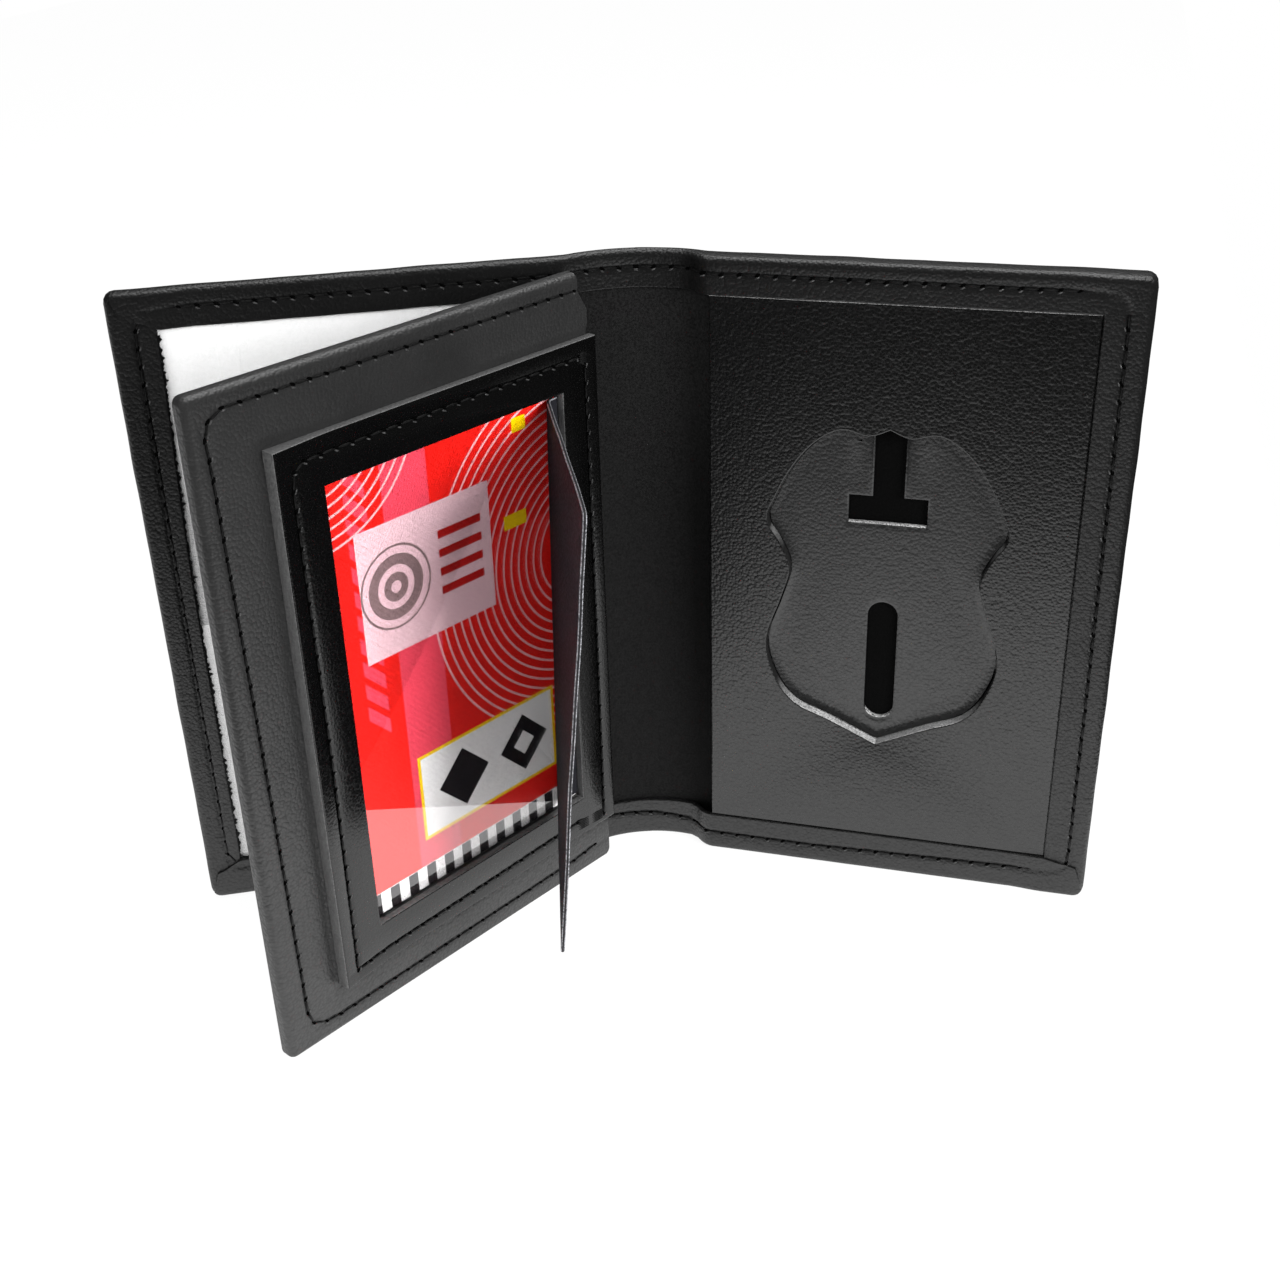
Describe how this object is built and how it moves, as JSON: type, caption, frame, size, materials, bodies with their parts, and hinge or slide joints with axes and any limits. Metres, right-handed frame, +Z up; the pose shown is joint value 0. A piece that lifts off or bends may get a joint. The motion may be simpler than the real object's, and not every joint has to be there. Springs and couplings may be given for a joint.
{
  "type": "badge and card wallet",
  "caption": "Book-style leather wallet with a shield-shaped badge recess, a bowed spine and a hinged leaf with a framed card window and flap.",
  "frame": {"origin": "middle of the badge cover's standing edge, at half the cover's thickness, on the surface that the wallet stands on", "axes": "+X along the badge cover from the spine to its outer edge, -Y out of the badge cover's inside face, +Z up"},
  "size_m": [0.1559, 0.0773, 0.114],
  "materials": {
    "cover_leather": "satin fine-grained black leather",
    "panel_leather": "satin pebbled black leather",
    "frame_leather": "glossy black leather with cut edges",
    "flap_leather": "thin black leather with a bright cut edge",
    "lining": "matt black lining",
    "board": "grey-brown stiffener board",
    "film": "clear soft film",
    "printed_card": "glossy printed card with a plain red pattern",
    "white_sheet": "blank white insert"
  },
  "bodies": {
    "badge_cover": {"badge_cover_leather": "cover_leather", "badge_cover_board": "board", "badge_slot_lining": "lining", "badge_backing": "panel_leather", "badge_panel": "panel_leather"},
    "spine": {"spine_leather": "cover_leather", "spine_lining": "lining"},
    "leaf": {"leaf_hinge_strip": "cover_leather", "leaf_leather": "cover_leather", "leaf_lining": "lining", "leaf_board": "board", "id_card": "printed_card", "card_film": "film", "window_frame": "frame_leather", "flap_root": "flap_leather"},
    "flap": {"window_flap": "flap_leather"},
    "id_cover": {"id_cover_leather": "cover_leather", "id_cover_board": "board", "id_cover_lining": "lining", "insert_sheet": "white_sheet", "id_cover_film": "film"}
  },
  "joints": [
    {"name": "badge_fold", "type": "hinge", "parent": "badge_cover", "child": "spine", "pos_m": [-0.035, 0.0011, 0], "axis": [0, 0, 1], "range_deg": [-15.5, 74.5]},
    {"name": "leaf_fold", "type": "hinge", "parent": "spine", "child": "leaf", "pos_m": [-0.0562, -0.00478, 0], "axis": [0, 0, 1], "range_deg": [-39.5, 42.5]},
    {"name": "id_cover_fold", "type": "hinge", "parent": "leaf", "child": "id_cover", "pos_m": [-0.0562, -0.00478, 0], "axis": [0, 0, 1], "range_deg": [-53.3, 36.2]},
    {"name": "flap_fold", "type": "hinge", "parent": "leaf", "child": "flap", "pos_m": [-0.05726, -0.01732, 0], "axis": [0, 0, 1], "range_deg": [-43.9, 40.8]}
  ],
  "couplings": [
    {"joint": "flap_fold", "follows": "leaf_fold", "ratio": -1.03}
  ]
}
